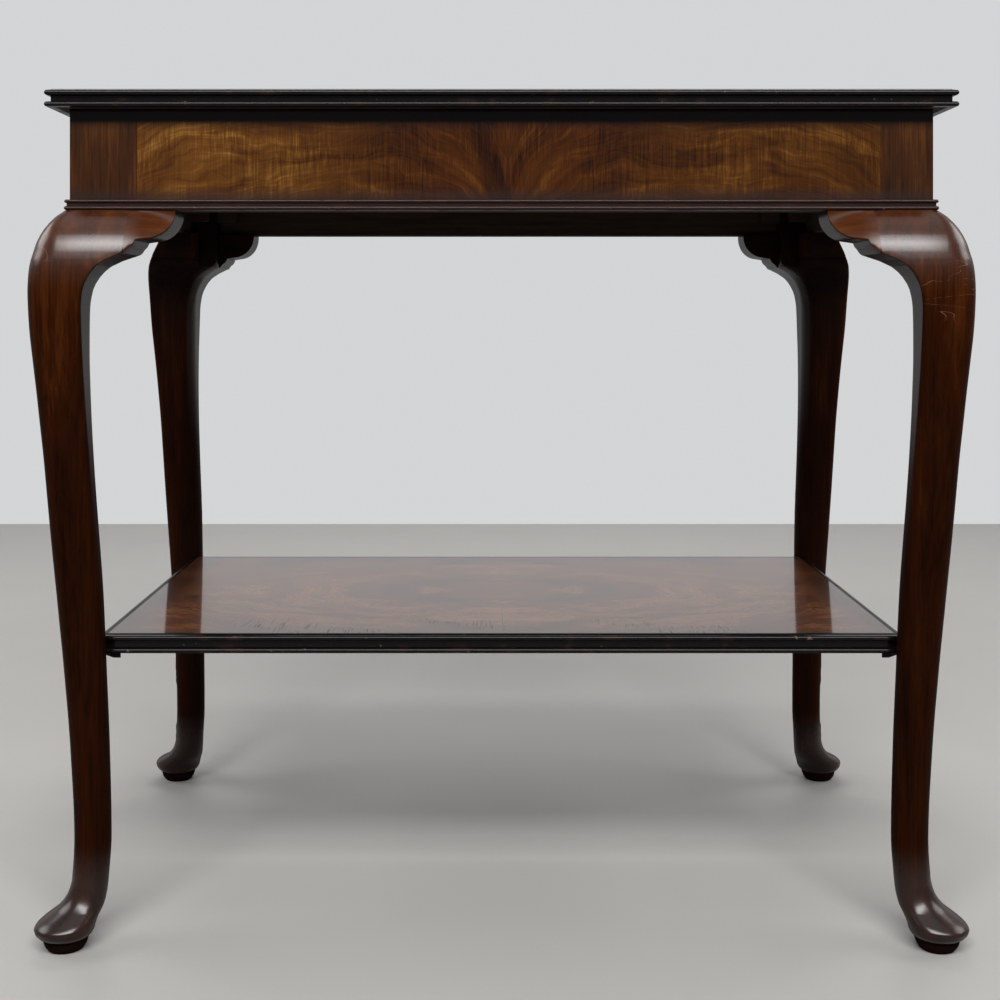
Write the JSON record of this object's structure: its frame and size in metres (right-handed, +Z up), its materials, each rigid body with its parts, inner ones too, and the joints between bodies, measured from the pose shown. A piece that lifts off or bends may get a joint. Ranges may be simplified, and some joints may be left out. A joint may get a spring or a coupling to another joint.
{
  "type": "two-tier side table",
  "caption": "Side table with a veneered box frieze on cabriole legs with pad feet and scalloped ears, a quartered undershelf and dark double-beaded edges.",
  "frame": {"origin": "on the floor, under the middle of the top", "axes": "+X along the table's width, to the right of someone facing its front; -Y out of the front; +Z up from the feet to the top"},
  "size_m": [0.7802, 0.4762, 0.71],
  "materials": {
    "walnut_solid": "french polished, worn to a lighter red-brown on the knees",
    "walnut_veneer": "french polished, figured, medium gloss",
    "blackened_edge": "ebonised and polished, rubbed on the beads",
    "carcase_wood": "sawn and stained dark, unpolished"
  },
  "bodies": {
    "root": {"ear_back_left_back": "walnut_solid", "ear_back_left_side": "walnut_solid", "ear_back_right_back": "walnut_solid", "ear_back_right_side": "walnut_solid", "ear_front_left_front": "walnut_solid", "ear_front_left_side": "walnut_solid", "ear_front_right_front": "walnut_solid", "ear_front_right_side": "walnut_solid", "frieze_bead_back": "blackened_edge", "frieze_bead_front": "blackened_edge", "frieze_bead_left": "blackened_edge", "frieze_bead_right": "blackened_edge", "frieze_end_front_left": "walnut_veneer", "frieze_end_front_right": "walnut_veneer", "frieze_end_left_back": "walnut_veneer", "frieze_end_left_front": "walnut_veneer", "frieze_end_right_back": "walnut_veneer", "frieze_end_right_front": "walnut_veneer", "frieze_leaf_front_left": "walnut_veneer", "frieze_leaf_front_right": "walnut_veneer", "frieze_sheet_back": "walnut_veneer", "frieze_sheet_left": "walnut_veneer", "frieze_sheet_right": "walnut_veneer", "glue_blocks": "carcase_wood", "leg_back_left": "walnut_solid", "leg_back_right": "walnut_solid", "leg_front_left": "walnut_solid", "leg_front_right": "walnut_solid", "rail_back": "carcase_wood", "rail_front": "carcase_wood", "rail_left": "carcase_wood", "rail_right": "carcase_wood", "shelf_core": "carcase_wood", "shelf_corner_blocks": "blackened_edge", "shelf_edge_back": "blackened_edge", "shelf_edge_front": "blackened_edge", "shelf_edge_left": "blackened_edge", "shelf_edge_right": "blackened_edge", "shelf_leaf_back_left": "walnut_veneer", "shelf_leaf_back_right": "walnut_veneer", "shelf_leaf_front_left": "walnut_veneer", "shelf_leaf_front_right": "walnut_veneer", "top_blocks": "carcase_wood", "top_core": "carcase_wood", "top_edge_back": "blackened_edge", "top_edge_front": "blackened_edge", "top_edge_left": "blackened_edge", "top_edge_right": "blackened_edge", "top_leaf_back_left": "walnut_veneer", "top_leaf_back_right": "walnut_veneer", "top_leaf_front_left": "walnut_veneer", "top_leaf_front_right": "walnut_veneer"}
  },
  "joints": []
}
